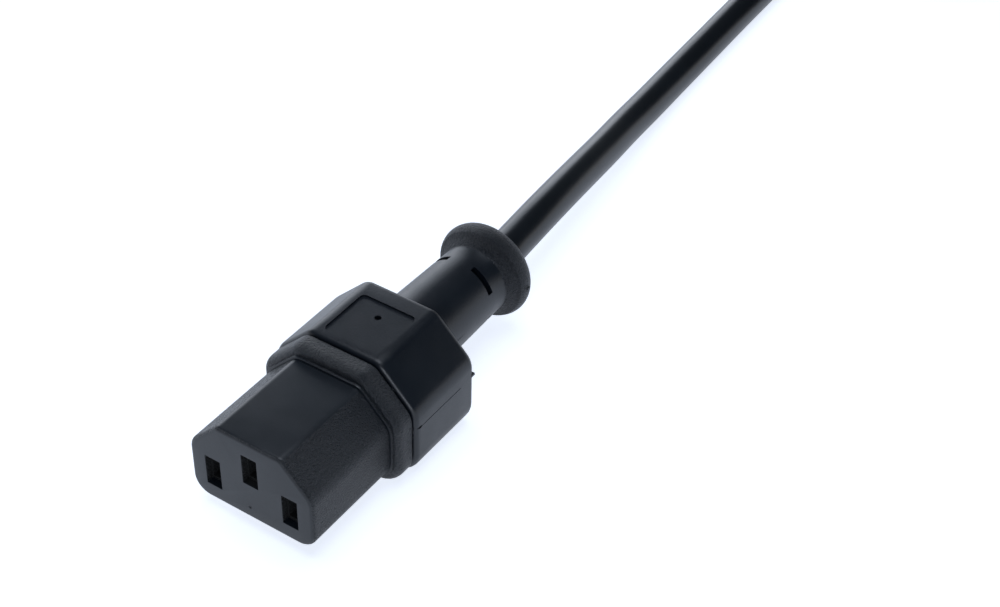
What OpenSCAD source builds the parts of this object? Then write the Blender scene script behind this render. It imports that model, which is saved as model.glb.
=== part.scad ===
// Moulded C13 power connector on its supply lead, with the C14 plug at the lead's far end.
// +Y runs from the mating face back along the lead, +X is to the right seen from the front,
// +Z is up. The origin is the centre of the connector's mating face.

/* [Nose] */
// Width of the nose that enters an appliance inlet
nose_w = 22.4; // [21:0.1:24]
// Height of the nose
nose_h = 15.2; // [14.6:0.1:16]
// Length of the nose from the mating face to the collar
nose_l = 17.8; // [16:0.1:20]
// Size of the 45 degree corners along the top of the nose
nose_chamfer = 5.4; // [4.6:0.1:5.6]
// Radius of the two lower corners of the nose
nose_corner_r = 3; // [1.5:0.1:3.4]
// Radius between the nose's sides and its 45 degree corners
nose_side_r = 3; // [1:0.1:4]
// Radius between the nose's top and its 45 degree corners
nose_top_r = 1.5; // [0.5:0.1:3]
// Rounding around the mating face
nose_edge_r = 0.7; // [0.2:0.1:1]

/* [Sockets] */
// Distance between the line and neutral sockets
pin_pitch = 14; // [13.6:0.1:14.4]
// Height of the earth socket above the line and neutral sockets
earth_rise = 4; // [3.6:0.1:4.4]
// Width of each socket slot
slot_w = 2.8; // [2.5:0.1:3.2]
// Height of each socket slot
slot_h = 5.5; // [5:0.1:5.8]
// Depth of the wide mouth of each slot
mouth_depth = 1.2; // [0.8:0.1:2]
// Depth at which each slot opens into its contact chamber
chamber_y = 5; // [3.5:0.1:6]

/* [Collar] */
// Length of the collar behind the nose
collar_l = 3.7; // [3:0.1:5]
// Width of the collar
collar_w = 25.4; // [24.6:0.1:26]
// Height of the collar
collar_h = 19.2; // [18:0.1:19.4]
// Size of the 45 degree corners along the top of the collar
collar_chamfer = 6.5; // [5.8:0.1:6.8]
// Length of the collar's rounded front edge
collar_front_r = 1.6; // [0.8:0.1:2]
// Width of the groove between the collar and the grip
groove_w = 0.4; // [0.3:0.1:1.2]
// Depth of the groove below the collar
groove_depth = 1.2; // [0.6:0.1:1.4]

/* [Grip] */
// Width of the grip
grip_w = 26.2; // [25.6:0.1:28]
// Height of the grip
grip_h = 19.6; // [19.4:0.1:21]
// Length of the grip
grip_l = 15.1; // [14:0.1:20]
// Size of the 45 degree corners along the top of the grip
grip_chamfer = 6.7; // [6.2:0.1:7.2]
// Radius of the two lower corners of the grip
grip_corner_r = 4.4; // [3:0.1:5]
// Radius between the grip's sides and its 45 degree corners
grip_side_r = 3.5; // [1.5:0.1:5]
// Radius between the grip's top and its 45 degree corners
grip_top_r = 2.5; // [1:0.1:4]
// Rounding around the grip's front edge
grip_edge_r = 0.9; // [0.2:0.1:1.2]
// Rounding around the grip's rear shoulder
shoulder_r = 1.1; // [0.6:0.1:1.6]
// Width of the shallow panel in the top of the grip
panel_w = 10; // [8:0.1:11]
// Length of the panel
panel_l = 9.8; // [8:0.1:11]
// Depth of the panel
panel_depth = 0.3; // [0.1:0.05:0.5]
// Diameter of the gate mark in the panel
gate_d = 1.1; // [0.6:0.1:1.6]

/* [Strain relief] */
// Diameter of the neck where it leaves the grip
neck_front_d = 13.2; // [12.6:0.1:14]
// Diameter of the neck at the end ring
neck_rear_d = 12.1; // [11.6:0.1:12.5]
// Length of the neck from the grip to the end ring's centre
neck_l = 22; // [18:0.1:26]
// Thickness of the end ring's round edge
ring_t = 4.6; // [3.8:0.1:4.8]
// Diameter over the end ring
ring_d = 16.8; // [16:0.1:17.4]
// Distance of the flex slots in front of the end ring's centre
slot_back = 7; // [6:0.1:9]
// Width of each flex slot along the neck
flex_w = 1.1; // [0.8:0.1:1.6]
// Length of each flex slot across the neck
flex_l = 5; // [4:0.1:5.4]
// Depth of each flex slot
flex_depth = 1.9; // [1:0.1:2.2]

/* [Cord] */
// Diameter of the cord's sheath
cord_d = 6.4; // [6.2:0.1:6.6]
// Wall of the sheath
sheath_t = 0.8; // [0.7:0.05:0.85]
// Diameter of an insulated core
core_d = 2.2; // [2:0.05:2.2]
// Diameter of a core's bundle of copper strands
strand_d = 1.1; // [0.9:0.05:1.2]

/* [Contacts] */
// Thickness of the brass strip
strip_t = 0.4; // [0.3:0.05:0.5]
// Height of a socket contact's spring leaves
leaf_h = 4.4; // [4:0.1:4.6]
// Width over a socket contact's body
contact_w = 3.8; // [3.6:0.1:4]
// Gap between the spring leaves at their throat
throat = 1.6; // [1.2:0.1:1.9]
// Thickness of a plug pin
pin_t = 2; // [1.9:0.05:2.1]
// Height of a plug pin
pin_h = 4; // [3.8:0.1:4.2]

/* [Plug] */
// Room left around a nose inside the plug's shroud
shroud_play = 0.5; // [0.3:0.05:0.7]
// Wall of the shroud
shroud_t = 1.7; // [1.4:0.1:2]
// Depth of the shroud's cavity
shroud_l = 18; // [17:0.1:20]
// Length of the plug's grip behind the shroud
plug_grip_l = 16; // [15:0.1:22]
// Length of the plug's neck
plug_neck_l = 14; // [12:0.1:18]

/* [Ties] */
// Thickness of the hook-and-loop strap
tie_t = 1; // [0.6:0.1:1.4]
// Width of the strap
tie_w = 12; // [8:1:16]

/* [Hidden] */
$fn = 48;

black_pvc = [0.13, 0.15, 0.18];
black_grip = [0.17, 0.19, 0.23];
brass = [0.78, 0.62, 0.32];
copper = [0.80, 0.46, 0.30];
live_brown = [0.36, 0.20, 0.12];
neutral_blue = [0.16, 0.32, 0.62];
earth_green = [0.35, 0.60, 0.20];

low_z = -earth_rise / 2;
high_z = earth_rise / 2;
sockets = [[-pin_pitch / 2, low_z], [pin_pitch / 2, low_z], [0, high_z]];

nose_radii = [nose_corner_r, nose_side_r, nose_top_r];
grip_radii = [grip_corner_r, grip_side_r, grip_top_r];
cap_radii = [2, 1.5, 1];
neck_fillet = 0.9;
panel_gap = 1.7;
panel_r = 0.8;
gate_depth = 0.6;
lip = 0.45;
fit = 0.1;

collar_y = nose_l;
collar_step = min(collar_w - nose_w, collar_h - nose_h) / 2 - lip - 0.05;
collar_edge = min(1, collar_step);
groove_y = collar_y + collar_l;
grip_y = groove_y + groove_w;
neck_y = grip_y + grip_l;
ring_y = neck_y + neck_l;
exit_y = ring_y + ring_t / 2;
floor_z = -grip_h / 2;
grip_edge = min(grip_edge_r, groove_depth + (grip_h - collar_h) / 2 - fit);

// The carrier's rear block, which the grip is moulded around, and the cap that closes it
block_l = 2.9;
block_y = grip_y + block_l;
cap_margin = 1.5;
cap_w = collar_w - 2 * (groove_depth + cap_margin);
cap_h = collar_h - 2 * (groove_depth + cap_margin);
cap_chamfer = collar_chamfer - (2 - sqrt(2)) * (groove_depth + cap_margin);
cap_t = 1.6;
boss_t = 0.8;
sunk = 1;

// The chamber behind each slot, and the contact in it
mouth_step = 0.2;
chamber_w = contact_w + 2 * fit;
chamber_low = -leaf_h / 2;
chamber_high = leaf_h / 2 + 2 * fit;
throat_slot_w = slot_w - 2 * mouth_step;
contact_y = chamber_y + 0.6;
foot_w = 1.6;
contact_end = block_y - boss_t;
mouth_flare = 0.5;
throat_l = 2.2;
leaf_l = 6.2;
web_l = 7.6;
body_l = 11.4;
crimp_gap = 0.9;
crimp_l = 3;
core_grip_l = 2.6;

// Where the cores run from the contacts into the sheath
core_hole = core_d + fit;
bend_y = block_y + cap_t;
sheath_seat = 1.4;
sheath_y = neck_y - sheath_seat;
core_r = core_d / sqrt(3);
core_ends = [core_r * [cos(210), sin(210)], core_r * [cos(330), sin(330)], core_r * [0, 1]];
room_gap = 0.6;
room_w = pin_pitch + core_d + 2 * room_gap;
room_low = low_z - core_d / 2 - room_gap;
room_high = high_z + core_d / 2 + room_gap;

// The free cord's route, laid on the surface that the grip lies on
lead_route = [[0, exit_y, 0], [0, 64, 0], [-0.4, 69, -0.1], [-1, 76, -0.3], [-1.9, 84, -1],
    [-3.2, 94, -2.3], [-4.6, 104, -3.8], [-6, 114, -5.1], [-7, 124, -6], [-8, 136, -6.6],
    [-8.7, 150, -6.6], [-9.4, 164, -6.6], [-10, 178, -6.6], [-10.6, 190, -6.4], [-10.9, 202, -5.8],
    [-11, 214, -5.6], [-11, 222, -5.6]];
tail_route = [[-11, 273, 13.6], [-11, 279, 13.6], [-11, 284, 13.5], [-10.9, 290, 12.7], [-10.6, 296, 11],
    [-10, 302, 8.7], [-9.2, 308, 6.1], [-8.4, 314, 3.6], [-7.7, 320, 1.6], [-7.2, 326, 0.4],
    [-7, 331, 0], [-7, 335, 0]];
lead_end = lead_route[len(lead_route) - 1];
tail_end = tail_route[len(tail_route) - 1];
hank_r = 3 * cord_d;
hank_run = 51;
hank_x = lead_end.x + hank_r;
hank_y = lead_end.y;
hank_layers = 4;
way = cord_d / 2 + 0.8;
way_gap = 0.2;
reach = hank_r + cord_d;
last_layer = (hank_layers - 1) * cord_d;

// The plug lies at the lead's far end with its mouth pointing away
plug_w = nose_w + 2 * (shroud_play + shroud_t);
plug_h = nose_h + 2 * (shroud_play + shroud_t);
plug_chamfer = nose_chamfer + (2 - sqrt(2)) * (shroud_play + shroud_t);
mouth_edge_r = 0.6;
floor_t = 2;
pin_tip = 1.5;
earth_lead = 0.7;
tip_taper = 0.9;
tip_l = 1.2;
pin_crimp_l = 3.7;
core_seat = 0.5;
strand_seat = 0.7;
plug_bead_t = 3;
plug_grip_y = shroud_l + floor_t;
plug_block_y = plug_grip_y + 5;
plug_bend_y = plug_block_y + cap_t;
plug_neck_y = plug_grip_y + plug_grip_l;
plug_sheath_y = plug_neck_y - sheath_seat;
plug_l = plug_neck_y + plug_neck_l;
plug_at = [tail_end.x, tail_end.y + plug_l, floor_z + plug_h / 2];

// ---- Outlines, lofts and swept tubes ----

function unit(v) = v / norm(v);

function arc_corner(a, p, b, r, n) =
    let (u = unit(a - p), v = unit(b - p), half = acos(u * v) / 2,
         mid = p + unit(u + v) * r / sin(half),
         s = p + u * r / tan(half) - mid,
         e = p + v * r / tan(half) - mid,
         from = atan2(s.y, s.x),
         turn = (atan2(e.y, e.x) - from + 540) % 360 - 180)
    [for (k = [0:n]) mid + r * [cos(from + turn * k / n), sin(from + turn * k / n)]];

// The family's outline moved in by d: a flat base with round corners, and 45 degree corners along
// the top. radii are those of the lower corners, of the sides and of the top.
function outline(w, h, chamfer, radii, d = 0) =
    let (x = w / 2 - d, z = h / 2 - d, c = chamfer - (2 - sqrt(2)) * d,
         p = [[-x, -z], [x, -z], [x, z - c], [x - c, z], [c - x, z], [-x, z - c]],
         which = [0, 0, 1, 2, 2, 1])
    [for (i = [0:5]) each arc_corner(p[(i + 5) % 6], p[i], p[(i + 1) % 6],
        max(0.1, radii[which[i]] - d), i < 2 ? 5 : 3)];

function nose_outline(d) = outline(nose_w, nose_h, nose_chamfer, nose_radii, d);
function collar_outline(d) = outline(collar_w, collar_h, collar_chamfer, grip_radii, d);
function plug_outline(d) = outline(plug_w, plug_h, plug_chamfer, grip_radii, d);
function cap_outline() = outline(cap_w, cap_h, cap_chamfer, cap_radii);

function ring_at(y, points) = [for (p = points) [p.x, y, p.y]];

// A closed skin through rings with equal counts of points
module skin(rings) {
    n = len(rings[0]);
    last = len(rings) - 1;
    polyhedron(
        points = [for (r = rings) each r],
        faces = [
            [for (j = [n - 1:-1:0]) j],
            [for (j = [0:n - 1]) last * n + j],
            for (i = [0:last - 1], j = [0:n - 1]) let (k = (j + 1) % n)
                let (a = i * n, b = a + n)
                each [[a + j, a + k, b + k], [a + j, b + k, b + j]]]);
}

// A prism of the family's outline along Y, cut exactly
module prism(y, l, points)
    translate([0, y + l, 0]) rotate([90, 0, 0]) linear_extrude(l) polygon(points);

// A round rod along Y
module rod(y, l, d, x = 0, z = 0)
    translate([x, y, z]) rotate([-90, 0, 0]) cylinder(d = d, h = l);

module block(x, y, z) // each argument is [low, high]
    translate([x[0], y[0], z[0]]) cube([x[1] - x[0], y[1] - y[0], z[1] - z[0]]);

function heading(path, i) =
    let (last = len(path) - 1, a = min(i, last - 1), b = max(i, 1))
    unit(unit(path[a + 1] - path[a]) + unit(path[b] - path[b - 1]));

function ring_about(path, i, r, sides) =
    let (t = heading(path, i), side = unit(cross(t, [0, 0, 1])), up = cross(side, t))
    [for (k = [0:sides - 1]) let (a = (k + 0.5) * 360 / sides) path[i] + r * (cos(a) * side + sin(a) * up)];

// A round tube along a path, hollow where a bore is given
module swept(path, d, bore = 0, sides = 8) {
    n = len(path);
    outer = [for (i = [0:n - 1]) ring_about(path, i, d / 2, sides)];
    if (bore == 0)
        skin(outer);
    else
        skin_tube(outer, [for (i = [0:n - 1]) ring_about(path, i, bore / 2, sides)]);
}

module skin_tube(outer, inner) {
    n = len(outer[0]);
    m = len(outer);
    all = n * m;
    polyhedron(
        points = [for (r = outer) each r, for (r = inner) each r],
        faces = [
            for (i = [0:m - 2], j = [0:n - 1]) let (k = (j + 1) % n, a = i * n, b = (i + 1) * n)
                each [[a + j, a + k, b + k], [a + j, b + k, b + j],
                      [all + a + j, all + b + k, all + a + k], [all + a + j, all + b + j, all + b + k]],
            for (j = [0:n - 1]) let (k = (j + 1) % n, b = (m - 1) * n)
                each [[j, all + j, all + k], [j, all + k, k],
                      [b + j, all + b + k, all + b + j], [b + j, b + k, all + b + k]]]);
}

// The path of one core from its contact to the end of its moulding
function core_path(at, goal, y0, y1, y2, y3) = concat(
    [[at.x, y0, at.y]],
    [for (k = [0:5]) let (t = k / 5, s = (1 - cos(180 * t)) / 2)
        [at.x + (goal.x - at.x) * s, y1 + (y2 - y1) * t, at.y + (goal.y - at.y) * s]],
    [[goal.x, y3, goal.y]]);

// ---- Connector ----

function round_over(r, n) = [for (k = [0:n]) [r * (1 - sin(90 * k / n)), r * (1 - cos(90 * k / n))]];

module carrier_shape() {
    skin([
        for (q = round_over(nose_edge_r, 3))
            ring_at(q[1], nose_outline(q[0])),
        ring_at(collar_y, nose_outline(0)),
        ring_at(collar_y, nose_outline(-lip)),
        ring_at(collar_y + lip, nose_outline(-lip)),
        for (q = round_over(1, 4))
            ring_at(collar_y + lip + q[1] * collar_front_r, collar_outline(q[0] * collar_edge)),
        ring_at(groove_y, collar_outline(0)),
        ring_at(groove_y, collar_outline(groove_depth)),
        ring_at(block_y, collar_outline(groove_depth))]);
}

module socket_cut(at) {
    block([at.x - slot_w / 2, at.x + slot_w / 2], [-1, mouth_depth], [at.y - slot_h / 2, at.y + slot_h / 2]);
    block([at.x - throat_slot_w / 2, at.x + throat_slot_w / 2], [0, chamber_y + 1],
        [at.y + chamber_low, at.y + chamber_high]);
    block([at.x - chamber_w / 2, at.x + chamber_w / 2], [chamber_y, block_y + 1],
        [at.y + chamber_low, at.y + chamber_high]);
}

module contact_carrier() {
    color(black_pvc)
    difference() {
        carrier_shape();
        for (at = sockets) socket_cut(at);
    }
}

// A rear plug with one boss in each chamber and a hole for each core
module cap_shape(y, boss) {
    difference() {
        union() {
            prism(y, cap_t, cap_outline());
            for (at = sockets)
                block([at.x - chamber_w / 2 + fit, at.x + chamber_w / 2 - fit], [y - boss, y + 0.4],
                    [at.y + chamber_low + fit, at.y + chamber_high - fit]);
        }
        for (at = sockets) rod(y - boss - 1, cap_t + boss + 2, core_hole, at.x, at.y);
    }
}

module carrier_cap() color([0.75, 0.74, 0.70]) cap_shape(block_y, boss_t);

// One spring leaf seen from above: a flared mouth, a throat and a straight body
function leaf_line() = [[throat / 2 + mouth_flare, 0], [throat / 2, throat_l],
    [contact_w / 2 - strip_t - mouth_flare, leaf_l], [contact_w / 2 - strip_t, web_l],
    [contact_w / 2 - strip_t, body_l]];

module leaf() {
    inner = leaf_line();
    n = len(inner) - 1;
    linear_extrude(leaf_h) polygon(concat(inner, [for (i = [n:-1:0]) inner[i] + [strip_t, 0]]));
}

module socket_contact(at) {
    low = at.y - leaf_h / 2;
    web_y = contact_y + web_l;
    crimp_y = contact_y + body_l;
    foot_z = at.y - core_d / 2;
    strand_crimp = strand_d + 2 * strip_t;
    grip_crimp = core_d + 2 * strip_t;
    color(brass)
    union() {
        for (side = [0, 1])
            translate([at.x, contact_y, low]) mirror([side, 0, 0]) leaf();
        block([at.x - contact_w / 2, at.x + contact_w / 2], [web_y, crimp_y], [low, low + strip_t]);
        block([at.x - foot_w / 2, at.x + foot_w / 2], [crimp_y - 0.1, crimp_y + strip_t],
            [low, at.y - strand_d / 2]);
        block([at.x - foot_w / 2, at.x + foot_w / 2], [crimp_y, contact_end], [foot_z - strip_t, foot_z]);
        block([at.x - foot_w / 3, at.x + foot_w / 3], [crimp_y + crimp_gap, crimp_y + crimp_gap + crimp_l],
            [foot_z - 0.1, at.y - strand_d / 2]);
        difference() {
            rod(crimp_y + crimp_gap, crimp_l, strand_crimp, at.x, at.y);
            rod(crimp_y, crimp_l + 2, strand_d, at.x, at.y);
        }
        difference() {
            rod(contact_end - core_grip_l, core_grip_l, grip_crimp, at.x, at.y);
            rod(contact_end - core_grip_l - 1, core_grip_l + 2, core_d, at.x, at.y);
        }
    }
}

module line_contact() socket_contact(sockets[0]);
module neutral_contact() socket_contact(sockets[1]);
module earth_contact() socket_contact(sockets[2]);

module strands(i, y0, y1, y2, y3)
    color(copper) swept(core_path(sockets[i], core_ends[i], y0, y1, y2, y3), strand_d);

module core(i, tone, y0, y1, y2, y3)
    color(tone) swept(core_path(sockets[i], core_ends[i], y0, y1, y2, y3), core_d, strand_d);

module connector_strands(i) strands(i, contact_y + body_l + crimp_gap / 2, bend_y, sheath_y, exit_y);
module connector_core(i, tone) core(i, tone, contact_end - core_grip_l - 0.3, bend_y, sheath_y, exit_y);

module line_strands() connector_strands(0);
module neutral_strands() connector_strands(1);
module earth_strands() connector_strands(2);
module line_core() connector_core(0, live_brown);
module neutral_core() connector_core(1, neutral_blue);
module earth_core() connector_core(2, earth_green);

module sheath(y0, y1)
    color(black_pvc)
    difference() {
        rod(y0, y1 - y0, cord_d);
        rod(y0 - 1, y1 - y0 + 2, cord_d - 2 * sheath_t);
    }

module cord_sheath() sheath(sheath_y, exit_y);

// A cone with a fillet at the shoulder and a round bead at its end, turned from one profile
module neck_shape(y, l, d0, d1, bead_d, bead_t)
    translate([0, y, 0]) rotate([-90, 0, 0])
        rotate_extrude() {
            polygon(concat(
                [[0, -sunk], [d0 / 2 + neck_fillet, -sunk]],
                [for (a = [0:15:90]) [d0 / 2 + neck_fillet * (1 - sin(a)), neck_fillet * (1 - cos(a))]],
                [[d1 / 2, l], [0, l]]));
            translate([(bead_d - bead_t) / 2, l]) circle(d = bead_t);
            translate([0, l - sunk]) square([(bead_d - bead_t) / 2, sunk + bead_t / 2]);
        }

// Four slots around the neck, a quarter turn apart, that let the relief flex
module flex_slots(y, d)
    for (a = [45:90:315])
        rotate([0, a, 0])
            block([-flex_l / 2, flex_l / 2], [y - flex_w / 2, y + flex_w / 2], [d / 2 - flex_depth, d]);

module grip_shape(y, l, w, h, chamfer)
    skin([
        for (q = round_over(grip_edge, 3)) ring_at(y + q[1], outline(w, h, chamfer, grip_radii, q[0])),
        for (k = [3:-1:0]) let (q = round_over(shoulder_r, 3)[k])
            ring_at(y + l - q[1], outline(w, h, chamfer, grip_radii, q[0]))]);

module rounded_rectangle(w, l, r) {
    square([w - 2 * r, l], center = true);
    square([w, l - 2 * r], center = true);
    for (x = [-1, 1], y = [-1, 1])
        translate([x * (w / 2 - r), y * (l / 2 - r)]) circle(r);
}

module panel_cut()
    translate([0, grip_y + panel_gap + panel_l / 2, grip_h / 2 - panel_depth]) {
        linear_extrude(panel_depth + 1) rounded_rectangle(panel_w, panel_l, panel_r);
        translate([0, panel_l / 5, -gate_depth]) cylinder(d = gate_d, h = gate_depth + 1);
    }

module grip_body() {
    color(black_grip)
    difference() {
        union() {
            grip_shape(grip_y, grip_l, grip_w, grip_h, grip_chamfer);
            neck_shape(neck_y, neck_l, neck_front_d, neck_rear_d, ring_d, ring_t);
        }
        prism(grip_y - 1, block_y - grip_y + 1, collar_outline(groove_depth));
        prism(block_y - 0.5, cap_t + 0.5, cap_outline());
        block([-room_w / 2, room_w / 2], [bend_y - 0.5, sheath_y], [room_low, room_high]);
        rod(sheath_y - 1, exit_y - sheath_y + 2, cord_d);
        flex_slots(ring_y - slot_back, neck_rear_d);
        panel_cut();
    }
}

// ---- Free cord ----

module cord_lead() color(black_pvc) swept(lead_route, cord_d, sides = 10);

module racetrack(r) {
    translate([-r, 0]) square([2 * r, hank_run]);
    circle(r);
    translate([0, hank_run]) circle(r);
}

module cord_hank()
    color(black_pvc)
    translate([hank_x, hank_y, floor_z + tie_t])
        difference() {
            linear_extrude(hank_layers * cord_d) racetrack(hank_r + cord_d / 2);
            translate([0, 0, -1]) linear_extrude(hank_layers * cord_d + 2) racetrack(hank_r - cord_d / 2);
            // The way in for the lead under the first fold, and out for the tail over the last
            block([-reach, -hank_r + way], [-reach, 0], [-1, cord_d + way_gap]);
            block([-reach, -hank_r + way], [hank_run, hank_run + reach],
                [last_layer - 3 * way_gap, last_layer + reach]);
            // The last run is on the left only, so the far fold and the right side are a layer lower
            block([-reach, reach], [hank_run, hank_run + reach], [last_layer, last_layer + reach]);
            block([0, reach], [-reach, hank_run + 1], [last_layer, last_layer + reach]);
        }

// A strap around the cords on one side of the hank
module tie(x, layers)
    color([0.08, 0.08, 0.09])
    translate([x, hank_y + hank_run / 2, floor_z])
        difference() {
            block([-cord_d / 2 - tie_t, cord_d / 2 + tie_t], [-tie_w / 2, tie_w / 2],
                [0, layers * cord_d + 2 * tie_t]);
            block([-cord_d / 2, cord_d / 2], [-tie_w, tie_w], [tie_t, layers * cord_d + tie_t]);
        }

module left_tie() tie(hank_x - hank_r, hank_layers);
module right_tie() tie(hank_x + hank_r, hank_layers - 1);

module cord_tail() color(black_pvc) swept(tail_route, cord_d, sides = 10);

// ---- Plug, drawn with its mouth at y = 0 facing -Y, then turned to point away ----

module at_plug() translate(plug_at) rotate([0, 0, 180]) children();

module plug_shroud()
    color(black_pvc)
    at_plug()
    difference() {
        skin([
            for (q = round_over(mouth_edge_r, 3)) ring_at(q[1], plug_outline(q[0])),
            ring_at(plug_grip_y, plug_outline(0)),
            ring_at(plug_grip_y, plug_outline(shroud_t)),
            ring_at(plug_block_y, plug_outline(shroud_t))]);
        prism(-1, shroud_l + 1, nose_outline(-shroud_play));
        for (at = sockets) {
            block([at.x - pin_t / 2, at.x + pin_t / 2], [shroud_l - 1, plug_grip_y + 1],
                [at.y - pin_h / 2, at.y + pin_h / 2]);
            block([at.x - chamber_w / 2, at.x + chamber_w / 2], [plug_grip_y, plug_block_y + 1],
                [at.y + chamber_low, at.y + chamber_high]);
        }
    }

module plug_cap() color([0.75, 0.74, 0.70]) at_plug() cap_shape(plug_block_y, 0);

// A folded flat pin with a tapered tip and a crimp behind the shroud's floor
module plug_pin(at, tip) {
    back = plug_block_y - pin_crimp_l;
    z = pin_h / 2;
    color([0.80, 0.79, 0.74])
    at_plug()
    difference() {
        union() {
            translate([at.x, 0, at.y]) rotate([0, 90, 0]) translate([0, 0, -pin_t / 2])
                linear_extrude(pin_t)
                    polygon([[tip_taper - z, tip], [z - tip_taper, tip], [z, tip + tip_l],
                        [z, back + 0.1], [-z, back + 0.1], [-z, tip + tip_l]]);
            rod(back, pin_crimp_l, core_d + 2 * strip_t, at.x, at.y);
        }
        rod(back + core_seat, pin_crimp_l, core_d, at.x, at.y);
        rod(back - strand_seat, pin_crimp_l, strand_d, at.x, at.y);
    }
}

module plug_line_pin() plug_pin(sockets[0], pin_tip);
module plug_neutral_pin() plug_pin(sockets[1], pin_tip);
module plug_earth_pin() plug_pin(sockets[2], pin_tip - earth_lead);

module plug_strands(i)
    at_plug()
    strands(i, plug_block_y - pin_crimp_l - strand_seat + fit, plug_bend_y, plug_sheath_y, plug_l);
module plug_core(i, tone)
    at_plug()
    core(i, tone, plug_block_y - pin_crimp_l + core_seat + fit, plug_bend_y, plug_sheath_y, plug_l);

module plug_line_strands() plug_strands(0);
module plug_neutral_strands() plug_strands(1);
module plug_earth_strands() plug_strands(2);
module plug_line_core() plug_core(0, live_brown);
module plug_neutral_core() plug_core(1, neutral_blue);
module plug_earth_core() plug_core(2, earth_green);
module plug_sheath() at_plug() sheath(plug_sheath_y, plug_l);

module plug_grip()
    color(black_grip)
    at_plug()
    difference() {
        union() {
            grip_shape(plug_grip_y, plug_grip_l, plug_w, plug_h, plug_chamfer);
            neck_shape(plug_neck_y, plug_neck_l - plug_bead_t / 2, neck_front_d, neck_rear_d,
                neck_rear_d + 1, plug_bead_t);
        }
        prism(plug_grip_y - 1, plug_block_y - plug_grip_y + 1, plug_outline(shroud_t));
        prism(plug_block_y - 0.5, cap_t + 0.5, cap_outline());
        block([-room_w / 2, room_w / 2], [plug_bend_y - 0.5, plug_sheath_y], [room_low, room_high]);
        rod(plug_sheath_y - 1, plug_l - plug_sheath_y + 2, cord_d);
        flex_slots(plug_neck_y + plug_neck_l / 2, (neck_front_d + neck_rear_d) / 2);
    }

contact_carrier();
carrier_cap();
line_contact();
neutral_contact();
earth_contact();
line_strands();
neutral_strands();
earth_strands();
line_core();
neutral_core();
earth_core();
cord_sheath();
grip_body();
cord_lead();
cord_hank();
left_tie();
right_tie();
cord_tail();
plug_shroud();
plug_cap();
plug_line_pin();
plug_neutral_pin();
plug_earth_pin();
plug_line_strands();
plug_neutral_strands();
plug_earth_strands();
plug_line_core();
plug_neutral_core();
plug_earth_core();
plug_sheath();
plug_grip();
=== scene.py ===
# %% [markdown]
# # A moulded C13 power connector on its supply lead
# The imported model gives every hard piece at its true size. This lesson puts the finish on: the black
# PVC of the mouldings, the cord, the brass and copper inside, and the light they are seen in.

# %% Load the frame
import math
import random
import bmesh
import bpy
from mathutils import Matrix, Vector


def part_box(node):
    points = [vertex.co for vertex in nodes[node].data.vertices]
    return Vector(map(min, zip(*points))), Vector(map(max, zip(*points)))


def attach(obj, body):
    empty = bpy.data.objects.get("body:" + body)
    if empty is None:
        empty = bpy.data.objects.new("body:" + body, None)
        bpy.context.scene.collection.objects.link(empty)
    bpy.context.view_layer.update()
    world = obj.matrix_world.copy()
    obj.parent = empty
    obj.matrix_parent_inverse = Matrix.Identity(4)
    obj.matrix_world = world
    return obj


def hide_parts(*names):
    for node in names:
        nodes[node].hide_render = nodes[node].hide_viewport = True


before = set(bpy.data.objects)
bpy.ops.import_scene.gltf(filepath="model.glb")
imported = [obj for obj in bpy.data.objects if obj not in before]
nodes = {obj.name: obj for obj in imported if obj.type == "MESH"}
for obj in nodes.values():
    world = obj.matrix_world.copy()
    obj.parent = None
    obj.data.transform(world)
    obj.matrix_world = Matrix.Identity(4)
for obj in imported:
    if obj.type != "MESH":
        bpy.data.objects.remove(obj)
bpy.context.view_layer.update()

MM = 0.001


# %% [markdown]
# The camera stands in front of the mating face, to the right and well above it, as a product shot of a
# connector does. Its place comes first, because the cord's unseen length has to lie outside its view.

# %% Camera
AZIMUTH, ELEVATION, ROLL = 32.92, 39.86, 1.52
camera_data = bpy.data.cameras.new("camera")
camera_data.lens = 65.98
camera_data.sensor_width = 36
camera_data.clip_start = 0.01
camera_data.clip_end = 20
camera = bpy.data.objects.new("camera", camera_data)
bpy.context.scene.collection.objects.link(camera)
turn = (Matrix.Rotation(math.radians(AZIMUTH), 4, "Z")
        @ Matrix.Rotation(math.radians(90 - ELEVATION), 4, "X")
        @ Matrix.Rotation(math.radians(ROLL), 4, "Z"))
camera.matrix_world = Matrix.Translation(Vector((128.07, -134.09, 186.31)) * MM) @ turn
bpy.context.scene.camera = camera
print("camera at", tuple(round(v, 3) for v in camera.location))

# %% [markdown]
# Each finish is a node tree. One function adds a node with its settings and links, and another turns the
# familiar hex colours into the linear values that a shader works in.

# %% Helpers for finishes
def linear(hex_colour):
    channels = [int(hex_colour[i:i + 2], 16) / 255 for i in (1, 3, 5)]
    return [c / 12.92 if c <= 0.04045 else ((c + 0.055) / 1.055) ** 2.4 for c in channels] + [1.0]


def add(tree, kind, inputs=None, **settings):
    node = tree.nodes.new(kind)
    for name, value in settings.items():
        setattr(node, name, value)
    for name, value in (inputs or {}).items():
        if isinstance(value, bpy.types.NodeSocket):
            tree.links.new(value, node.inputs[name])
        else:
            node.inputs[name].default_value = value
    return node


def new_finish(name, **shader):
    material = bpy.data.materials.new(name)
    material.use_nodes = True
    tree = material.node_tree
    surface = next(n for n in tree.nodes if n.type == "BSDF_PRINCIPLED")
    for socket, value in shader.items():
        surface.inputs[socket.replace("_", " ")].default_value = value
    place = add(tree, "ShaderNodeTexCoord").outputs["Object"]
    return material, tree, surface, place


def per_metre(size_mm):
    """The texture scale that gives features of about this size."""
    return 1 / (size_mm * MM)


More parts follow.
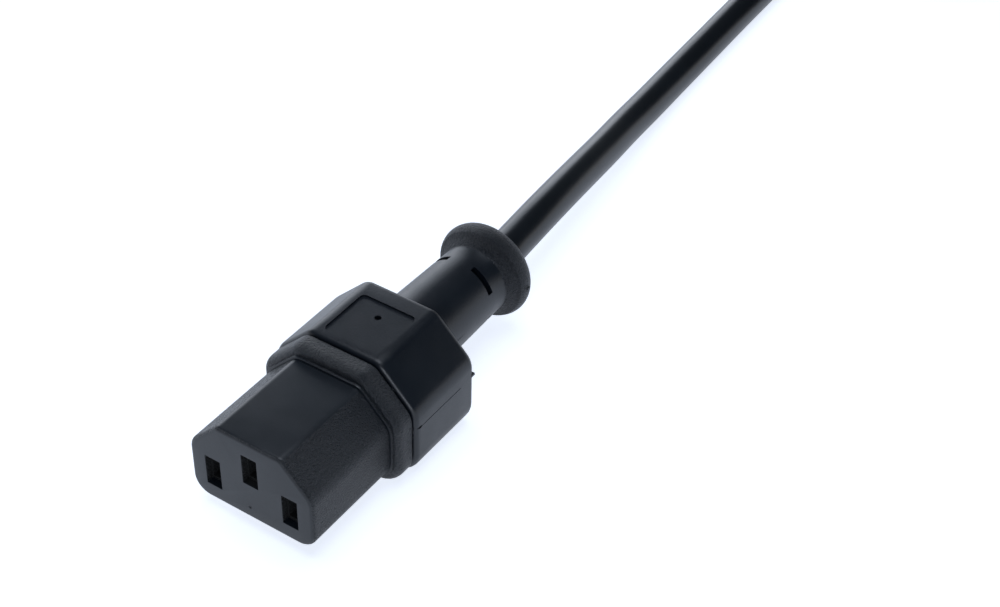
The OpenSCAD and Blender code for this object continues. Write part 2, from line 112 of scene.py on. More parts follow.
def blend_of(tree, low, high, fac):
    ramp = add(tree, "ShaderNodeValToRGB", {"Fac": fac})
    ramp.color_ramp.elements[0].position = 0.3
    ramp.color_ramp.elements[1].position = 0.7
    ramp.color_ramp.elements[0].color = linear(low)
    ramp.color_ramp.elements[1].color = linear(high)
    return ramp.outputs["Color"]


def spread(tree, value, low, high):
    return add(tree, "ShaderNodeMapRange", {"Value": value, "To Min": low, "To Max": high}).outputs["Result"]


# %% [markdown]
# The mouldings are flexible black PVC. Spark erosion leaves its tool with a field of fine pits, so the
# plastic comes out with an even grain that breaks the gloss into a soft sheen. The pits are about 0.1 mm
# across, but they gather in clusters of about 0.4 mm that the eye sees as grain. The faces of the tool
# that were polished leave the plastic smooth: the top and the mating face of the nose, and most of the
# grip. A slower cloud of roughness stands for handling and for the skin where hot plastic flowed.

# %% Moulded PVC
def moulded_pvc(name, low, high, rough, depth, eroded, shade_inside=None):
    """eroded(tree, place) gives the share of grain at each point, from smooth 0 to full 1. The last argument,
    called the same way, is 1 inside deep holes, where the plastic is made dull and its colour is painted near-black as
    shade."""
    material, tree, surface, place = new_finish(name, IOR=1.53)
    cloud = add(tree, "ShaderNodeTexNoise", {"Vector": place, "Scale": per_metre(9), "Detail": 3.0}).outputs["Fac"]
    pits = add(tree, "ShaderNodeTexNoise", {
        "Vector": place, "Scale": per_metre(0.36), "Detail": 3.0, "Roughness": 0.7}).outputs["Fac"]
    flow = add(tree, "ShaderNodeTexNoise", {"Vector": place, "Scale": per_metre(3), "Detail": 2.0}).outputs["Fac"]
    share = eroded(tree, place)
    tone = blend_of(tree, low, high, cloud)
    gloss = spread(tree, flow, rough - 0.05, rough + 0.05)
    # Inside the slots and their chambers the colour is painted near-black as shade, and the gloss is dulled.
    if shade_inside:
        deep = shade_inside(tree, place)
        painted_shade = add(tree, "ShaderNodeMix", data_type="RGBA")
        tree.links.new(deep, painted_shade.inputs[0])
        tree.links.new(tone, painted_shade.inputs[6])
        painted_shade.inputs[7].default_value = linear("#040506")
        tone = painted_shade.outputs[2]
        gloss = both_of(tree, gloss, add(tree, "ShaderNodeMath", {0: deep, 1: 0.9}, operation="MULTIPLY").outputs["Value"])
    tree.links.new(tone, surface.inputs["Base Color"])
    tree.links.new(gloss, surface.inputs["Roughness"])
    bump = add(tree, "ShaderNodeBump", {"Height": pits, "Strength": share, "Distance": depth * MM})
    tree.links.new(bump.outputs["Normal"], surface.inputs["Normal"])
    return material


def mask(tree, value, start, end, low, high):
    """A soft step from low to high as the value goes from start to end."""
    return add(tree, "ShaderNodeMapRange", {
        "Value": value, "From Min": start, "From Max": end, "To Min": low, "To Max": high},
        interpolation_type="SMOOTHSTEP").outputs["Result"]


def both_of(tree, a, b):
    return add(tree, "ShaderNodeMath", {0: a, 1: b}, operation="MAXIMUM").outputs["Value"]


def nose_grain(tree, place):
    """Grain on the sides, the corners and the collar, and a smooth top and mating face."""
    facing = add(tree, "ShaderNodeSeparateXYZ", {"Vector": add(tree, "ShaderNodeNewGeometry").outputs["Normal"]})
    depth = add(tree, "ShaderNodeSeparateXYZ", {"Vector": place}).outputs["Y"]
    sides = mask(tree, facing.outputs["Z"], 0.9, 0.75, 0.03, 1.0)
    front = mask(tree, facing.outputs["Y"], -0.95, -0.6, 0.03, 1.0)
    both = add(tree, "ShaderNodeMath", {0: sides, 1: front}, operation="MULTIPLY").outputs["Value"]
    return both_of(tree, both, mask(tree, depth, 17.8 * MM, 18.6 * MM, 0.0, 0.8))


def painted_slot_shade(tree, place):
    """1 inside the block that the three slots and their chambers fill, behind the mating face, where the colour is
    painted dark as shade.
    """
    across = add(tree, "ShaderNodeSeparateXYZ", {"Vector": place})
    share = mask(tree, across.outputs["Y"], 0.05 * MM, 0.35 * MM, 0.0, 1.0)
    for axis, reach in (("X", 8.6), ("Z", 4.6)):
        away = add(tree, "ShaderNodeMath", {0: across.outputs[axis]}, operation="ABSOLUTE").outputs["Value"]
        shade_inside = mask(tree, away, reach * MM, (reach + 0.1) * MM, 1.0, 0.0)
        share = add(tree, "ShaderNodeMath", {0: share, 1: shade_inside}, operation="MULTIPLY").outputs["Value"]
    return share


def grip_grain(tree, place):
    """Nearly smooth along the grip and the neck, and full grain on the end ring."""
    depth = add(tree, "ShaderNodeSeparateXYZ", {"Vector": place}).outputs["Y"]
    return mask(tree, depth, 55.5 * MM, 56.5 * MM, 0.05, 1.0)


# The nose's finish also paints shade inside its slots.
nose_pvc = moulded_pvc("spark_eroded_black_pvc", "#0b121a", "#0f171f", 0.36, 0.6, nose_grain, painted_slot_shade)
grip_pvc = moulded_pvc("satin_black_pvc", "#0b1119", "#0f161e", 0.36, 0.5, grip_grain)

# %% [markdown]
# The cord's sheath is extruded PVC. The die leaves it smooth and glossy, with a slow cloud in its tone
# and faint fine marks in its gloss.

# %% Cord sheath
def extruded_pvc(name, low, high, rough):
    material, tree, surface, place = new_finish(name, IOR=1.53)
    cloud = add(tree, "ShaderNodeTexNoise", {"Vector": place, "Scale": per_metre(14), "Detail": 2.0}).outputs["Fac"]
    draw = add(tree, "ShaderNodeTexNoise", {"Vector": place, "Scale": per_metre(0.5), "Detail": 2.0}).outputs["Fac"]
    tree.links.new(blend_of(tree, low, high, cloud), surface.inputs["Base Color"])
    tree.links.new(spread(tree, draw, rough - 0.04, rough + 0.04), surface.inputs["Roughness"])
    bump = add(tree, "ShaderNodeBump", {"Height": draw, "Strength": 0.6, "Distance": 0.01 * MM})
    tree.links.new(bump.outputs["Normal"], surface.inputs["Normal"])
    return material


sheath_pvc = extruded_pvc("extruded_black_pvc", "#0b0e12", "#0f1318", 0.3)
core_finishes = {
    "line": extruded_pvc("brown_core_pvc", "#4a2a1c", "#5a3424", 0.35),
    "neutral": extruded_pvc("blue_core_pvc", "#1f4f9c", "#2a5cab", 0.35),
}

# %% [markdown]
# The earth core is green with yellow stripes that run along it.

# %% Striped earth core
def striped_pvc(name):
    material, tree, surface, place = new_finish(name, IOR=1.53, Roughness=0.35)
    wave = add(tree, "ShaderNodeTexWave", {"Vector": place, "Scale": per_metre(6), "Distortion": 1.0},
               wave_type="BANDS", bands_direction="DIAGONAL").outputs["Fac"]
    tree.links.new(blend_of(tree, "#2f7a34", "#d9c62c", wave), surface.inputs["Base Color"])
    return material


core_finishes["earth"] = striped_pvc("green_yellow_core_pvc")

# %% [markdown]
# The socket contacts are folded from brass strip, the plug's pins are brass with a nickel skin, and the
# conductors are bundles of fine bare copper. All three were drawn or rolled, which leaves faint lines
# along them.

# %% Metals
def drawn_metal(name, low, high, rough, line_mm, stretch):
    material, tree, surface, place = new_finish(name, Metallic=1.0)
    along = add(tree, "ShaderNodeMapping", {"Vector": place, "Scale": stretch}).outputs["Vector"]
    lines = add(tree, "ShaderNodeTexNoise", {"Vector": along, "Scale": per_metre(line_mm), "Detail": 3.0}).outputs["Fac"]
    tree.links.new(blend_of(tree, low, high, lines), surface.inputs["Base Color"])
    tree.links.new(spread(tree, lines, rough - 0.06, rough + 0.06), surface.inputs["Roughness"])
    bump = add(tree, "ShaderNodeBump", {"Height": lines, "Strength": 0.4, "Distance": 0.01 * MM})
    tree.links.new(bump.outputs["Normal"], surface.inputs["Normal"])
    return material


strip_brass = drawn_metal("rolled_brass", "#b08a48", "#c9a45c", 0.32, 0.3, (1, 0.05, 1))
pin_nickel = drawn_metal("nickel_plated_brass", "#b9b6ab", "#cbc8bd", 0.22, 0.3, (1, 0.05, 1))
bare_copper = drawn_metal("stranded_copper", "#a85f3a", "#d08a5e", 0.35, 0.2, (1, 0.04, 1))

# %% [markdown]
# The caps behind the contacts are natural nylon, off-white and slightly waxy. The straps that hold the
# hank are woven hook-and-loop tape: a plain weave of about 0.5 mm pitch with a soft nap that catches
# light at grazing angles.

# %% Nylon and woven tape
def nylon(name):
    material, tree, surface, place = new_finish(name, IOR=1.53, Roughness=0.45)
    cloud = add(tree, "ShaderNodeTexNoise", {"Vector": place, "Scale": per_metre(4), "Detail": 3.0}).outputs["Fac"]
    tree.links.new(blend_of(tree, "#c9c5b6", "#dbd7ca", cloud), surface.inputs["Base Color"])
    surface.inputs["Subsurface Weight"].default_value = 0.1
    surface.inputs["Subsurface Scale"].default_value = 0.4 * MM
    return material


def woven_tape(name):
    material, tree, surface, place = new_finish(name, IOR=1.5, Roughness=0.85, Sheen_Weight=0.5, Sheen_Roughness=0.5)
    weave = [add(tree, "ShaderNodeTexWave", {"Vector": place, "Scale": per_metre(0.5) / 20, "Distortion": 0.6},
                 wave_type="BANDS", bands_direction=way).outputs["Fac"] for way in ("Y", "Z")]
    cloth = add(tree, "ShaderNodeMath", {0: weave[0], 1: weave[1]}, operation="MULTIPLY").outputs["Value"]
    nap = add(tree, "ShaderNodeTexNoise", {"Vector": place, "Scale": per_metre(0.25), "Detail": 4.0}).outputs["Fac"]
    height = add(tree, "ShaderNodeMath", {0: cloth, 1: nap}, operation="ADD").outputs["Value"]
    tree.links.new(blend_of(tree, "#101012", "#1f1f22", nap), surface.inputs["Base Color"])
    bump = add(tree, "ShaderNodeBump", {"Height": height, "Strength": 0.8, "Distance": 0.08 * MM})
    tree.links.new(bump.outputs["Normal"], surface.inputs["Normal"])
    return material


cap_nylon = nylon("natural_nylon")
strap_tape = woven_tape("hook_and_loop_tape")
print(len(bpy.data.materials), "materials")

# %% [markdown]
# The cord is one curve from the connector's end ring to the plug. Its points follow the lead as it dips
# to the surface, then a hank of long turns with a climb in each near fold, then the way to the plug.

# %% Cord
CORD_R = 3.2
FOLD_R = 19.2
RUN = 51
TURNS = 3
lead_route = [(0, 61.3, 0), (0, 64, 0), (-0.4, 69, -0.1), (-1, 76, -0.3), (-1.9, 84, -1),
              (-3.2, 94, -2.3), (-4.6, 104, -3.8), (-6, 114, -5.1), (-7, 124, -6), (-8, 136, -6.6),
              (-8.7, 150, -6.6), (-9.4, 164, -6.6), (-10, 178, -6.6), (-10.6, 190, -6.4), (-10.9, 202, -5.8),
              (-11, 214, -5.6), (-11, 222, -5.6)]
tail_route = [(-11, 273, 13.6), (-11, 279, 13.6), (-11, 284, 13.5), (-10.9, 290, 12.7), (-10.6, 296, 11),
              (-10, 302, 8.7), (-9.2, 308, 6.1), (-8.4, 314, 3.6), (-7.7, 320, 1.6), (-7.2, 326, 0.4),
              (-7, 331, 0), (-7, 335, 0)]


def fold(centre, start, level, climb):
    """Half a turn, clockwise from above, that climbs as it goes."""
    points = []
    for step in range(1, 10):
        share = step / 10
        angle = math.radians(start - 180 * share)
        ease = (1 - math.cos(math.pi * share)) / 2
        points.append((centre.x + FOLD_R * math.cos(angle), centre.y + FOLD_R * math.sin(angle), level + climb * ease))
    return points


def hank_turns():
    x, y, level = lead_route[-1]
    far, near = Vector((x + FOLD_R, y + RUN)), Vector((x + FOLD_R, y))
    points = []
    for _ in range(TURNS):
        points += [(x, y + RUN * share, level) for share in (0.25, 0.5, 0.75, 1)]
        points += fold(far, 180, level, 0)
        points += [(x + 2 * FOLD_R, y + RUN * share, level) for share in (1, 0.75, 0.5, 0.25, 0)]
        points += fold(near, 0, level, 2 * CORD_R)
        level += 2 * CORD_R
        points.append((x, y, level))
    return points + [(x, y + RUN * share, level) for share in (0.25, 0.5, 0.75)]


def smooth_curve(name, points, radius):
    data = bpy.data.curves.new(name, "CURVE")
    data.dimensions = "3D"
    data.bevel_depth = radius * MM
    data.bevel_resolution = 8
    data.resolution_u = 8
    data.use_fill_caps = True
    spline = data.splines.new("BEZIER")
    spline.bezier_points.add(len(points) - 1)
    for knot, point in zip(spline.bezier_points, points):
        knot.co = Vector(point) * MM
        knot.handle_left_type = knot.handle_right_type = "AUTO"
    piece = bpy.data.objects.new(name, data)
    bpy.context.scene.collection.objects.link(piece)
    return piece


route = lead_route + hank_turns() + tail_route
lead = smooth_curve("supply_cord", route, CORD_R)
lead.data.materials.append(sheath_pvc)
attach(lead, "root")
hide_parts("cord_lead", "cord_hank", "cord_tail")

# %% [markdown]
# Every moulding of this family has one outline: a flat base with round corners and a top with two 45
# degree corners. A loft joins copies of it from ring to ring. Building it from a function keeps the
# rounding of each edge as fine as the render needs.

# %% Loft helpers
def arc_corner(before, at, after, radius, steps):
    to_before, to_after = (before - at).normalized(), (after - at).normalized()
    half = to_before.angle(to_after) / 2
    centre = at + (to_before + to_after).normalized() * radius / math.sin(half)
    start = at + to_before * radius / math.tan(half) - centre
    end = at + to_after * radius / math.tan(half) - centre
    first = math.atan2(start.y, start.x)
    sweep = (math.atan2(end.y, end.x) - first + 3 * math.pi) % (2 * math.pi) - math.pi
    return [centre + radius * Vector((math.cos(first + sweep * k / steps), math.sin(first + sweep * k / steps)))
            for k in range(steps + 1)]


def outline(w, h, chamfer, low_r, side_r, top_r, inset=0.0):
    x, z, cut = w / 2 - inset, h / 2 - inset, chamfer - (2 - math.sqrt(2)) * inset
    corners = [Vector(p) for p in ((-x, -z), (x, -z), (x, z - cut), (x - cut, z), (cut - x, z), (-x, z - cut))]
    radii = (low_r, low_r, side_r, top_r, top_r, side_r)
    points = []
    for i, corner in enumerate(corners):
        radius = max(0.1, radii[i] - inset)
        points += arc_corner(corners[i - 1], corner, corners[(i + 1) % 6], radius, 8 if i < 2 else 6)
    return points


def new_piece(name, bm, finish, sharp=32):
    mesh = bpy.data.meshes.new(name)
    bmesh.ops.recalc_face_normals(bm, faces=bm.faces)
    bm.to_mesh(mesh)
    bm.free()
    mesh.polygons.foreach_set("use_smooth", [True] * len(mesh.polygons))
    mesh.set_sharp_from_angle(angle=math.radians(sharp))
    if finish:
        mesh.materials.append(finish)
    piece = bpy.data.objects.new(name, mesh)
    bpy.context.scene.collection.objects.link(piece)
    return piece


def loft(name, rings, finish=None):
    """A closed skin through rings of (y, outline points)."""
    bm = bmesh.new()
    rows = [[bm.verts.new((p.x * MM, y * MM, p.y * MM)) for p in points] for y, points in rings]
    count = len(rows[0])
    for a, b in zip(rows, rows[1:]):
        for j in range(count):
            k = (j + 1) % count
            bm.faces.new((a[j], a[k], b[k], b[j]))
    bm.faces.new(rows[0])
    bm.faces.new(rows[-1])
    return new_piece(name, bm, finish)


def turned(name, profile, finish=None, steps=96):
    """A solid turned about the Y axis from a profile of (y, radius)."""
    bm = bmesh.new()
    rows = []
    for y, r in profile:
        rows.append([bm.verts.new((r * math.sin(a) * MM, y * MM, r * math.cos(a) * MM))
                     for a in (2 * math.pi * k / steps for k in range(steps))])
    for a, b in zip(rows, rows[1:]):
        for j in range(steps):
            k = (j + 1) % steps
            bm.faces.new((a[j], a[k], b[k], b[j]))
    bm.faces.new(rows[0])
    bm.faces.new(rows[-1])
    return new_piece(name, bm, finish)


def cutter_box(x, y, z):
    bm = bmesh.new()
    corners = [bm.verts.new((a * MM, b * MM, c * MM)) for a in x for b in y for c in z]
    for quad in ((0, 1, 3, 2), (4, 6, 7, 5), (0, 4, 5, 1), (2, 3, 7, 6), (0, 2, 6, 4), (1, 5, 7, 3)):
        bm.faces.new([corners[i] for i in quad])
    return new_piece("cutter", bm, None)


def combine(piece, others, how, sharp=32):
    """Cuts or joins solids for good, and leaves no modifier behind."""
    for other in others:
        step = piece.modifiers.new("step", "BOOLEAN")
        step.operation = how
        step.solver = "EXACT"
        step.object = other
        bpy.context.view_layer.objects.active = piece
        bpy.context.view_layer.update()
        with bpy.context.temp_override(object=piece, active_object=piece):
            bpy.ops.object.modifier_apply(modifier=step.name)
        bpy.data.objects.remove(other)
    piece.data.polygons.foreach_set("use_smooth", [True] * len(piece.data.polygons))
    piece.data.set_sharp_from_angle(angle=math.radians(sharp))
    return piece


# %% [markdown]
# The nose, lip and collar are one moulding with three slots. Each slot starts wide, narrows, and opens
# into the chamber where its brass contact sits, so the cuts are three boxes deep.

# %% Nose and collar
NOSE = (22.4, 15.2, 5.4, 3.0, 3.0, 1.5)
COLLAR = (25.4, 19.2, 6.5, 4.4, 3.5, 2.5)
COLLAR_Y, GROOVE_Y, GRIP_Y, BLOCK_Y = 17.8, 21.5, 21.9, 24.8
LIP = 0.45
SOCKETS = ((-7, -2), (7, -2), (0, 2))


def quarter(radius, steps):
    """Insets and distances for an edge rounded to a radius."""
    return [(radius * (1 - math.sin(a)), radius * (1 - math.cos(a)))
            for a in (math.pi / 2 * k / steps for k in range(steps + 1))]


def socket_cutters(depth):
    boxes = []
    for x, z in SOCKETS:
        boxes.append(cutter_box((x - 1.4, x + 1.4), (-1, 1.2), (z - 2.75, z + 2.75)))
        boxes.append(cutter_box((x - 1.2, x + 1.2), (0.6, 6), (z - 2.2, z + 2.4)))
        boxes.append(cutter_box((x - 2, x + 2), (5, depth), (z - 2.2, z + 2.4)))
    return boxes


rings = [(y, outline(*NOSE, inset=inset)) for inset, y in quarter(0.7, 6)]
rings += [(y, outline(*NOSE)) for y in (6, 12, COLLAR_Y)]
rings += [(COLLAR_Y + y, outline(*NOSE, inset=inset - LIP)) for inset, y in quarter(0.12, 2)]
rings += [(COLLAR_Y + LIP, outline(*NOSE, inset=-LIP))]
rings += [(COLLAR_Y + LIP + 1.6 * y, outline(*COLLAR, inset=inset)) for inset, y in quarter(1.0, 8)]
rings += [(GROOVE_Y - y, outline(*COLLAR, inset=inset)) for inset, y in reversed(quarter(0.2, 3))]
rings += [(GROOVE_Y, outline(*COLLAR, inset=1.2)), (BLOCK_Y, outline(*COLLAR, inset=1.2))]


def pip_cutter(x, z, radius, depth):
    """A shallow cone for the witness mark of an ejector pin in the mating face."""
    bm = bmesh.new()
    place = Matrix.Translation(Vector((x, 0, z)) * MM) @ Matrix.Rotation(math.pi / 2, 4, "X")
    bmesh.ops.create_cone(bm, cap_ends=True, segments=24, radius1=0.02 * MM, radius2=2 * radius * MM,
                          depth=2 * depth * MM, matrix=place)
    return new_piece("cutter", bm, None)


def flash_in_groove():
    """The ragged fin of plastic that crept into the joint on one side before the grip was moulded."""
    chance = random.Random(7)
    low, high = outline(*COLLAR, inset=1.3), outline(*COLLAR, inset=0.02)
    row = []
    for j in range(len(low)):
        k = (j + 1) % len(low)
        pieces = max(1, int((low[k] - low[j]).length / 0.25))
        row += [(low[j].lerp(low[k], n / pieces), high[j].lerp(high[k], n / pieces)) for n in range(pieces)]
    level, ragged = 0.0, []
    for inner, outer in row:
        level = min(1.0, max(0.0, level + chance.uniform(-0.5, 0.55)))
        there = 1.0 if outer.x > 7 and outer.y > -4 else 0.1
        ragged.append(inner.lerp(outer, level * there))
    inner = [a for a, _ in row]
    return loft("flash", [(21.6, inner), (21.64, ragged), (21.76, ragged), (21.8, inner)])


def joined(piece, other):
    bm = bmesh.new()
    bm.from_mesh(piece.data)
    bm.from_mesh(other.data)
    bm.to_mesh(piece.data)
    bm.free()
    bpy.data.objects.remove(other)
    return piece


cuts = socket_cutters(BLOCK_Y + 1) + [pip_cutter(-0.5, -5.3, 0.3, 0.2)]
carrier = combine(loft("nose_and_collar", rings, nose_pvc), cuts, "DIFFERENCE")
carrier = joined(carrier, flash_in_groove())
carrier.data.set_sharp_from_angle(angle=math.radians(32))
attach(carrier, "root")
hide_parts("contact_carrier")
print("nose and collar", len(carrier.data.polygons), "faces")

# %% [markdown]
# The grip is moulded over the carrier in one shot with its strain relief. A loft makes the body, a turned
# profile makes the neck with its fillets and end ring, and the cuts make the finger panel, the gate mark
# and the four flex slots.

# %% Grip and strain relief
GRIP = (26.2, 19.6, 6.7, 4.4, 3.5, 2.5)
NECK_Y, RING_Y, EXIT_Y = 37.0, 59.0, 61.3
RING_R, BEAD_R = 6.1, 2.3


def body_rings(sizes, start, end, front_r, rear_r):
    rings = [(start + y, outline(*sizes, inset=inset)) for inset, y in quarter(front_r, 4)]
    rings += [(start + (end - start) * share, outline(*sizes)) for share in (0.3, 0.6)]
    return rings + [(end - y, outline(*sizes, inset=inset)) for inset, y in reversed(quarter(rear_r, 7))]


def neck_profile():
    """From inside the grip, past a fillet at the shoulder, down the cone and round the end ring."""
    cone = lambda y: 6.6 - 0.55 * (y - NECK_Y) / (RING_Y - NECK_Y)
    fillet = 0.9
    profile = [(NECK_Y - 1.5, cone(NECK_Y) + fillet), (NECK_Y - 0.01, cone(NECK_Y) + fillet)]
    profile += [(NECK_Y + fillet * (1 - math.cos(a)), cone(NECK_Y) + fillet * (1 - math.sin(a)))
                for a in (math.pi / 2 * k / 6 for k in range(1, 7))]
    profile += [(y, cone(y)) for y in (42, 48, 53)]
    start = 128
    bead = [(RING_Y + BEAD_R * math.cos(math.radians(a)), RING_R + BEAD_R * math.sin(math.radians(a)))
            for a in range(start, -60, -8)]
    meet = bead[0]
    root = Vector((meet[0] - 1.5, cone(meet[0] - 1.5)))
    for share in (0, 0.35, 0.65, 0.85):
        bend = Vector((meet[0] - 0.55, cone(meet[0]) + 0.02))
        point = root.lerp(bend, share).lerp(bend.lerp(Vector(meet), share), share)
        profile.append((point.x, point.y))
    return profile + bead + [(EXIT_Y - 0.35, 4.3), (EXIT_Y - 0.08, 4.2), (EXIT_Y, 4.0)]


def rounded_cutter(w, l, r, y, top, deep):
    bm = bmesh.new()
    ring = []
    for cx, cy, start in ((1, 1, 0), (-1, 1, 90), (-1, -1, 180), (1, -1, 270)):
        for k in range(7):
            a = math.radians(start + 15 * k)
            ring.append((cx * (w / 2 - r) + r * math.cos(a), y + cy * (l / 2 - r) + r * math.sin(a)))
    rows = [[bm.verts.new((px * MM, py * MM, z * MM)) for px, py in ring] for z in (top - deep, top + 2)]
    for j in range(len(ring)):
        k = (j + 1) % len(ring)
        bm.faces.new((rows[0][j], rows[0][k], rows[1][k], rows[1][j]))
    bm.faces.new(rows[0])
    bm.faces.new(rows[1])
    return new_piece("cutter", bm, None)


def gate_cutter(y, top):
    bm = bmesh.new()
    bmesh.ops.create_cone(bm, cap_ends=True, segments=32, radius1=0.55 * MM, radius2=0.55 * MM, depth=3 * MM,
                          matrix=Matrix.Translation(Vector((0, y, top + 0.5)) * MM))
    return new_piece("cutter", bm, None)


def flex_cutters(y, r, deep):
    cutters = []
    for angle in (45, 135, 225, 315):
        cutter = cutter_box((-2.5, 2.5), (y - 0.55, y + 0.55), (r - deep, r + 3))
        cutter.data.transform(Matrix.Rotation(math.radians(angle), 4, "Y"))
        cutters.append(cutter)
    return cutters


grip = loft("grip_and_strain_relief", body_rings(GRIP, GRIP_Y, NECK_Y, 0.9, 1.15), grip_pvc)
neck = turned("neck", neck_profile())
nubs = [cutter_box((12, 13.1), (36.1, 37.0), (0.05, 0.45)), cutter_box((7.8, 8.5), (58.7, 59.3), (-0.2, 0.2)),
        cutter_box((-8.5, -7.8), (58.7, 59.3), (-0.2, 0.2))]
grip = combine(grip, [neck] + nubs, "UNION")
cuts = [rounded_cutter(10, 9.8, 0.8, 28.5, 9.8, 0.3), gate_cutter(30.4, 9.8)] + flex_cutters(52, 6.15, 1.9)
cuts += [cutter_box((12.92, 13.4), (21, 33.2), (0.02, 0.16)), cutter_box((12.7, 13.4), (22.6, 23.3), (-0.1, 0.3)),
         cutter_box((6.42, 7.5), (38.3, 47), (-0.05, 0.06))]
grip = combine(grip, cuts, "DIFFERENCE", 28)
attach(grip, "root")
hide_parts("grip_body")
print("grip", len(grip.data.polygons), "faces")

# %% [markdown]
# The plug at the far end belongs to the same family, so the same functions make it. It is built with its
# mouth at the origin and then turned to face away from the connector.

# %% Plug mouldings
PLUG = (26.8, 19.6, 6.69, 4.4, 3.5, 2.5)
CAVITY = (23.4, 16.2, 5.69, 3.5, 3.5, 2.0)
PLUG_NECK_Y, PLUG_L, PLUG_GRIP_Y = 36.0, 50.0, 20.0
plug_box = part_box("plug_shroud")
plug_place = (Matrix.Translation(((plug_box[0][0] + plug_box[1][0]) / 2, plug_box[1][1],
                                  (plug_box[0][2] + plug_box[1][2]) / 2)) @ Matrix.Rotation(math.pi, 4, "Z"))


def seat_on_plug(piece, node):
    piece.data.transform(plug_place)
    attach(piece, "root")
    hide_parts(node)


def plug_neck_profile():
    cone = lambda y: 6.6 - 0.4 * (y - PLUG_NECK_Y) / (PLUG_L - PLUG_NECK_Y)
    profile = [(PLUG_NECK_Y - 1.5, 7.4), (PLUG_NECK_Y - 0.01, 7.4)]
    profile += [(PLUG_NECK_Y + 0.8 * (1 - math.cos(a)), 6.6 + 0.8 * (1 - math.sin(a)))
                for a in (math.pi / 2 * k / 5 for k in range(1, 6))]
    profile += [(y, cone(y)) for y in (41, PLUG_L - 3.2)]
    profile += [(PLUG_L - 1.5 + 1.5 * math.cos(math.radians(a)), 5.05 + 1.5 * math.sin(math.radians(a)))
                for a in range(150, -1, -15)]
    return profile + [(PLUG_L, 4.2)]


rings = [(y, outline(*PLUG, inset=inset)) for inset, y in quarter(0.6, 5)]
rings += [(y, outline(*PLUG)) for y in (8, PLUG_GRIP_Y)]
rings += [(y, outline(*PLUG, inset=1.7)) for y in (PLUG_GRIP_Y, PLUG_GRIP_Y + 5)]
shroud = loft("plug_shroud_moulding", rings, nose_pvc)
cavity = loft("cutter", [(-1, outline(*CAVITY)), (18, outline(*CAVITY))])
shroud = combine(shroud, [cavity], "DIFFERENCE")
seat_on_plug(shroud, "plug_shroud")

handle = loft("plug_grip_moulding", body_rings(PLUG, PLUG_GRIP_Y, PLUG_NECK_Y, 0.9, 1.15), grip_pvc)
handle = combine(handle, [turned("neck", plug_neck_profile())], "UNION")
handle = combine(handle, flex_cutters(43, 6.4, 1.9), "DIFFERENCE", 28)
seat_on_plug(handle, "plug_grip")
print("plug faces", len(shroud.data.polygons), len(handle.data.polygons))

# %% [markdown]
# Two straps hold the hank, one round each stack of cord. Each follows the round cords at the top and the
# bottom of its stack, and its free end lies over itself on the inner side.

# %% Straps
def strap(name, node, layers, inner_side):
    low, high = (Vector(corner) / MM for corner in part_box(node))
    cx, cy, base = (low.x + high.x) / 2, (low.y + high.y) / 2, low.z
    thick, half = 1.0, (high.y - low.y) / 2
    bottom, top = base + thick + CORD_R, base + thick + CORD_R * (2 * layers - 1)
    loop = []
    for centre, start in ((top, 0), (bottom, 180)):
        for k in range(13):
            a = math.radians(start + 15 * k)
            loop.append((cx, centre, math.cos(a), math.sin(a)))
    bm = bmesh.new()
    section = ((CORD_R, -half), (CORD_R + thick, -half + 0.3), (CORD_R + thick, half - 0.3), (CORD_R, half))
    rows = [[bm.verts.new(((x + c * r) * MM, (cy + y) * MM, (z + s * r) * MM)) for r, y in section]
            for x, z, c, s in loop]
    for a, b in zip(rows, rows[1:] + rows[:1]):
        for j in range(4):
            k = (j + 1) % 4
            bm.faces.new((a[j], a[k], b[k], b[j]))
    side = cx + inner_side * (CORD_R + thick + 0.35)
    mid = (top + bottom) / 2
    flap = bmesh.ops.create_cube(bm, size=1.0)["verts"]
    for v in flap:
        v.co = Vector((side + v.co.x * 0.7, cy + v.co.y * (2 * half - 0.6), mid + v.co.z * 9)) * MM
    piece = new_piece(name, bm, strap_tape)
    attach(piece, "root")
    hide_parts(node)
    return piece


straps = [strap("left_strap", "left_tie", 4, 1), strap("right_strap", "right_tie", 3, -1)]

# %% [markdown]
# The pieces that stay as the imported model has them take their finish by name.

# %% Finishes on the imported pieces
def finish_for(name):
    if name.endswith("_cap"):
        return cap_nylon
    if name.endswith("_contact"):
        return strip_brass
    if name.endswith("_pin"):
        return pin_nickel
    if name.endswith("_strands"):
        return bare_copper
    for core in core_finishes:
        if name.endswith(core + "_core"):
            return core_finishes[core]
    if name.endswith("sheath"):
        return sheath_pvc
    return nose_pvc


for name, node in nodes.items():
    node.data.materials.clear()
    node.data.materials.append(finish_for(name))
print("finished", len(nodes), "packed pieces")

# %% [markdown]
# The connector lies on a white table in a white room. The table is a broad plane that looks white to the
# camera and in reflections, and still takes the object's soft shadow.

# %% Table and light
floor_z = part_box("grip_body")[0][2]


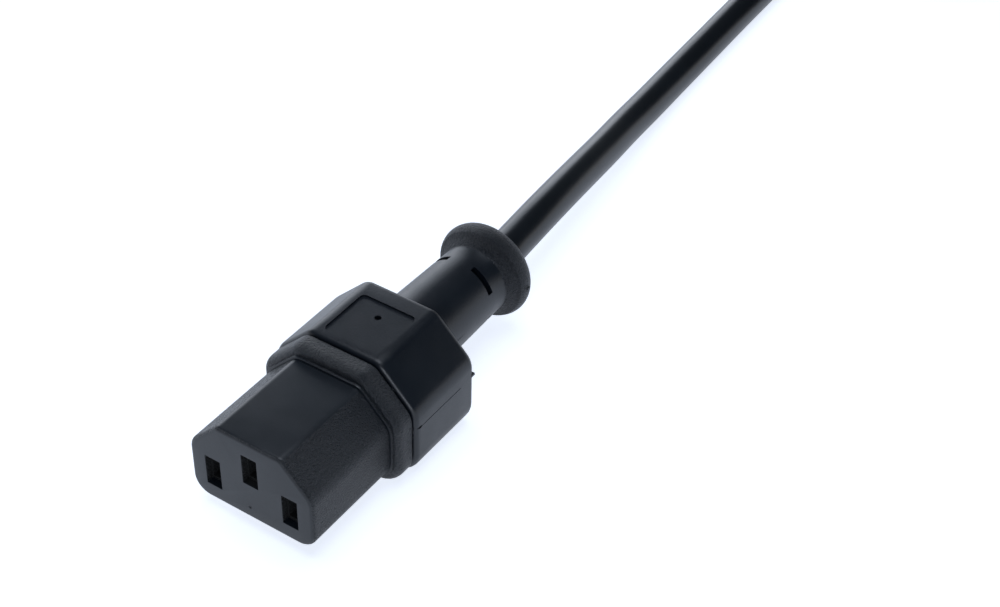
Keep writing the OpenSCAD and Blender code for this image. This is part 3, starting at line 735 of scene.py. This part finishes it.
def table_finish():
    """Pale paper. What the camera and the gloss see of it is lifted to white, and the shadow stays."""
    material, tree, surface, _ = new_finish("white_table", Roughness=0.9)
    surface.inputs["Base Color"].default_value = linear("#d9dee6")
    ray = add(tree, "ShaderNodeLightPath")
    seen = add(tree, "ShaderNodeMath", {0: ray.outputs["Is Glossy Ray"], 1: ray.outputs["Is Transmission Ray"]},
               operation="MAXIMUM").outputs["Value"]
    lift = add(tree, "ShaderNodeMath", {0: seen, 1: GLOSS_LIFT}, operation="MULTIPLY").outputs["Value"]
    lift = add(tree, "ShaderNodeMath", {0: ray.outputs["Is Camera Ray"], 1: CAMERA_LIFT, 2: lift},
               operation="MULTIPLY_ADD").outputs["Value"]
    glow = add(tree, "ShaderNodeEmission", {"Color": linear("#eef4ff"), "Strength": lift})
    both = add(tree, "ShaderNodeAddShader", {0: surface.outputs["BSDF"], 1: glow.outputs["Emission"]})
    output = next(n for n in tree.nodes if n.type == "OUTPUT_MATERIAL")
    tree.links.new(both.outputs["Shader"], output.inputs["Surface"])
    return material


CAMERA_LIFT, GLOSS_LIFT = 0.85, 0.55
bm = bmesh.new()
bmesh.ops.create_grid(bm, x_segments=1, y_segments=1, size=3, matrix=Matrix.Translation((0, 0, floor_z)))
table = new_piece("table", bm, table_finish())


def softbox(name, place, aim, size, power, colour="#ffffff"):
    data = bpy.data.lights.new(name, "AREA")
    data.shape = "RECTANGLE"
    data.size, data.size_y = size
    data.energy = power
    data.color = linear(colour)[:3]
    lamp = bpy.data.objects.new(name, data)
    bpy.context.scene.collection.objects.link(lamp)
    lamp.location = place
    lamp.visible_camera = False
    lamp.rotation_euler = (Vector(aim) - Vector(place)).to_track_quat("-Z", "Y").to_euler()
    return lamp


def toward(x, y, z, distance=1.1):
    return Vector((x, y, z)).normalized() * distance + Vector((0, 0.04, 0))


softbox("overhead_softbox", toward(0, 0, 1, 1.3), (0, 0.04, 0), (1.0, 1.0), 8.0, "#eaf2ff")
softbox("left_softbox", toward(-0.8, 0.54, 0.26), (0, 0.04, 0), (1.1, 0.7), 5.0, "#eaf2ff")
softbox("front_right_softbox", toward(0.57, -0.75, 0.36), (0, 0.04, 0), (0.3, 0.3), 2.2, "#eaf2ff")

world = bpy.data.worlds.new("studio_room")
bpy.context.scene.world = world
world.use_nodes = True
sky = world.node_tree
backdrop = next(n for n in sky.nodes if n.type == "BACKGROUND")
height = add(sky, "ShaderNodeSeparateXYZ", {"Vector": add(sky, "ShaderNodeTexCoord").outputs["Generated"]}).outputs["Z"]
room = add(sky, "ShaderNodeValToRGB", {"Fac": mask(sky, height, 0.04, 0.24, 0.0, 1.0)})
room.color_ramp.elements[0].color = linear("#ffffff")
room.color_ramp.elements[1].color = linear("#39424c")
sky.links.new(room.outputs["Color"], backdrop.inputs["Color"])
bpy.context.scene.view_settings.view_transform = "Standard"
